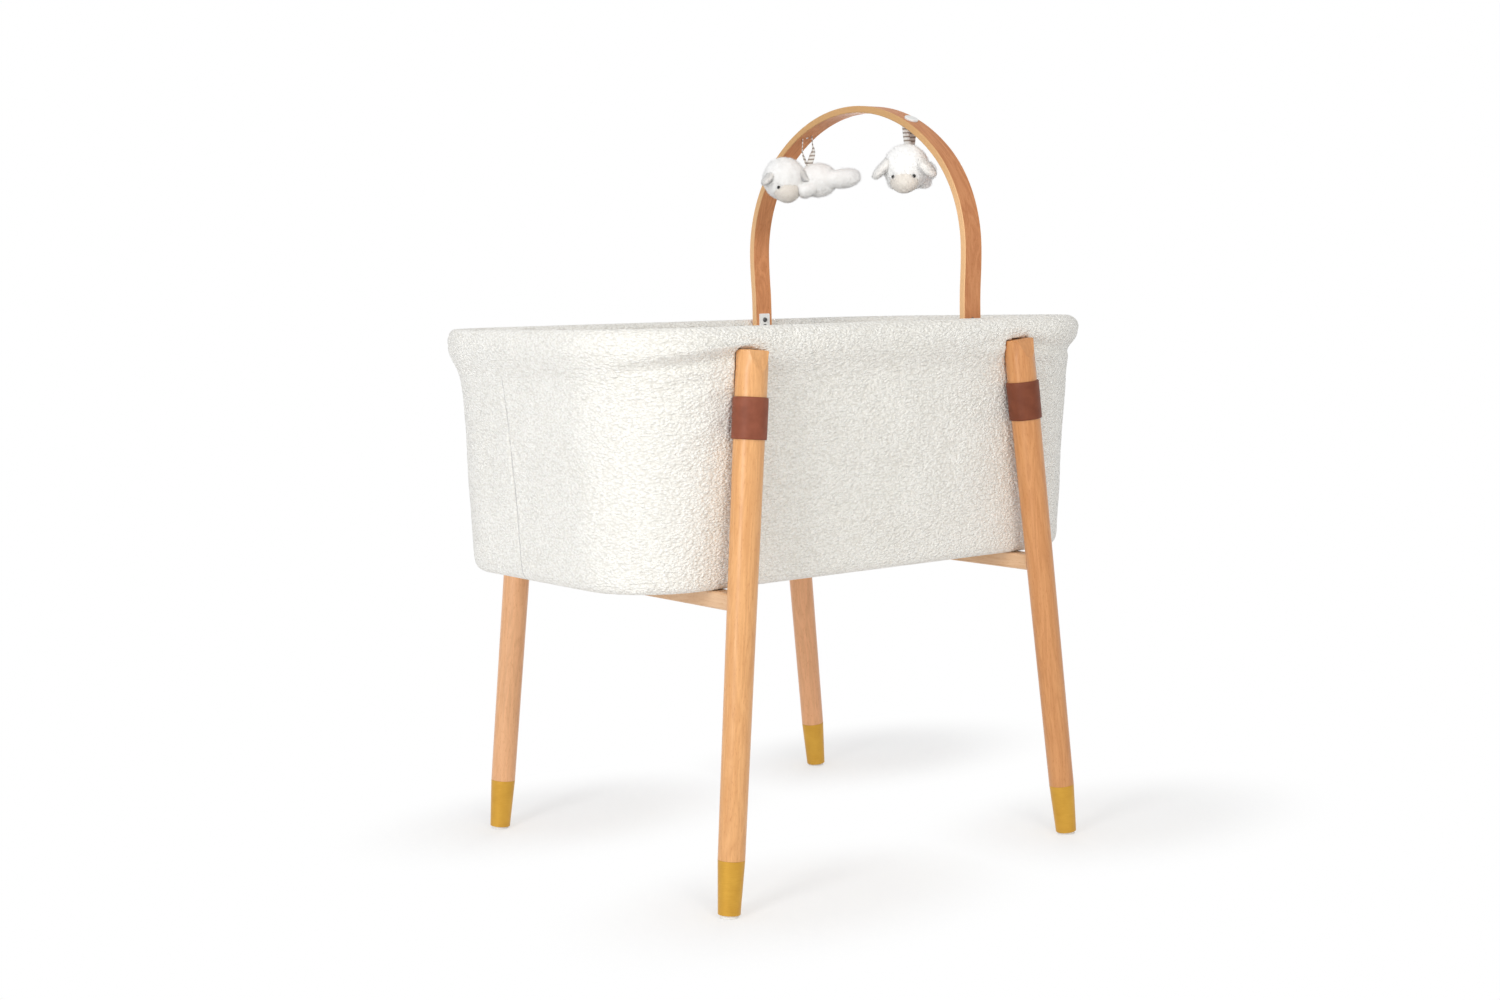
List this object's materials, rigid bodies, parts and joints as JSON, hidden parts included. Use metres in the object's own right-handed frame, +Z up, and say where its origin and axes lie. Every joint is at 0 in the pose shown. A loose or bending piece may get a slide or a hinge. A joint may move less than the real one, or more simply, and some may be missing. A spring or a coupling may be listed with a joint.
{
  "type": "bassinet on stand",
  "caption": "Rounded fabric bassinet with a padded rim on splayed tapered wooden legs, with a folding bent-wood toy arch and hanging plush lambs.",
  "frame": {"origin": "on the floor below the centre of the basket and of the feet", "axes": "+Z up, +X along the basket towards the head end where the arch stands, -Y the side seen nearest in the picture"},
  "size_m": [0.854, 0.5958, 1.034],
  "materials": {
    "beech": "clear satin varnish",
    "crossbar_beech": "clear satin varnish",
    "arch_beech": "clear satin varnish",
    "brass": "satin",
    "glide_nylon": "moulded",
    "leather": "smooth, matt",
    "boucle": "looped boucle",
    "lining_cotton": "plain weave",
    "mattress_cotton": "jersey",
    "panel_board": "plain sheet",
    "plywood": "sanded",
    "steel": "zinc plated",
    "white_nylon": "moulded",
    "white_button": "moulded",
    "striped_ribbon": "woven, striped",
    "black_bead": "polished",
    "beige_plush": "short plush",
    "white_plush": "fleece"
  },
  "bodies": {
    "bassinet": {"base_board": "plywood", "basket_bolts": "steel", "basket_washers": "steel", "crossbar_foot_end": "crossbar_beech", "crossbar_head_end": "crossbar_beech", "ferrule_back_left": "brass", "ferrule_back_right": "brass", "ferrule_front_left": "brass", "ferrule_front_right": "brass", "glide_back_left": "glide_nylon", "glide_back_right": "glide_nylon", "glide_front_left": "glide_nylon", "glide_front_right": "glide_nylon", "inner_lining": "lining_cotton", "leather_band_back_left": "leather", "leather_band_back_right": "leather", "leather_band_front_left": "leather", "leather_band_front_right": "leather", "leg_back_left": "beech", "leg_back_right": "beech", "leg_front_left": "beech", "leg_front_right": "beech", "outer_cover": "boucle", "pivot_bolts": "steel", "pivot_inserts": "steel", "rim_roll": "boucle", "rim_tube": "steel", "tee_nuts": "steel", "wall_panel": "panel_board"},
    "arch": {"toy_arch": "arch_beech", "pivot_plates": "white_nylon", "plate_screws": "steel", "back_lamb_button": "white_button", "front_lamb_button": "white_button"},
    "back_lamb": {"back_lamb_body": "white_plush", "back_lamb_eyes": "black_bead", "back_lamb_face": "beige_plush", "back_lamb_head": "white_plush", "back_lamb_left_arm": "white_plush", "back_lamb_left_ear": "beige_plush", "back_lamb_left_leg": "white_plush", "back_lamb_ribbon": "striped_ribbon", "back_lamb_right_arm": "white_plush", "back_lamb_right_ear": "beige_plush", "back_lamb_right_leg": "white_plush"},
    "front_lamb": {"front_lamb_body": "white_plush", "front_lamb_eyes": "black_bead", "front_lamb_face": "beige_plush", "front_lamb_head": "white_plush", "front_lamb_left_arm": "white_plush", "front_lamb_left_ear": "beige_plush", "front_lamb_left_leg": "white_plush", "front_lamb_ribbon": "striped_ribbon", "front_lamb_right_arm": "white_plush", "front_lamb_right_ear": "beige_plush", "front_lamb_right_leg": "white_plush"},
    "mattress_body": {"mattress": "mattress_cotton"}
  },
  "joints": [
    {"name": "arch_fold", "type": "hinge", "parent": "bassinet", "child": "arch", "pos_m": [0.168, 0, 0.718], "axis": [0, 1, 0], "range_deg": [-50, 50]},
    {"name": "back_lamb_swing", "type": "hinge", "parent": "arch", "child": "back_lamb", "pos_m": [0.168, 0.114, 0.99627], "axis": [0, 0.8968, -0.4424], "range_deg": [-30, 30]},
    {"name": "front_lamb_swing", "type": "hinge", "parent": "arch", "child": "front_lamb", "pos_m": [0.168, -0.114, 0.99627], "axis": [0, 0.8968, 0.4424], "range_deg": [-30, 30]},
    {"name": "mattress_lift", "type": "slide", "parent": "bassinet", "child": "mattress_body", "axis": [0, 0, 1], "range_m": [0, 0.3]}
  ]
}
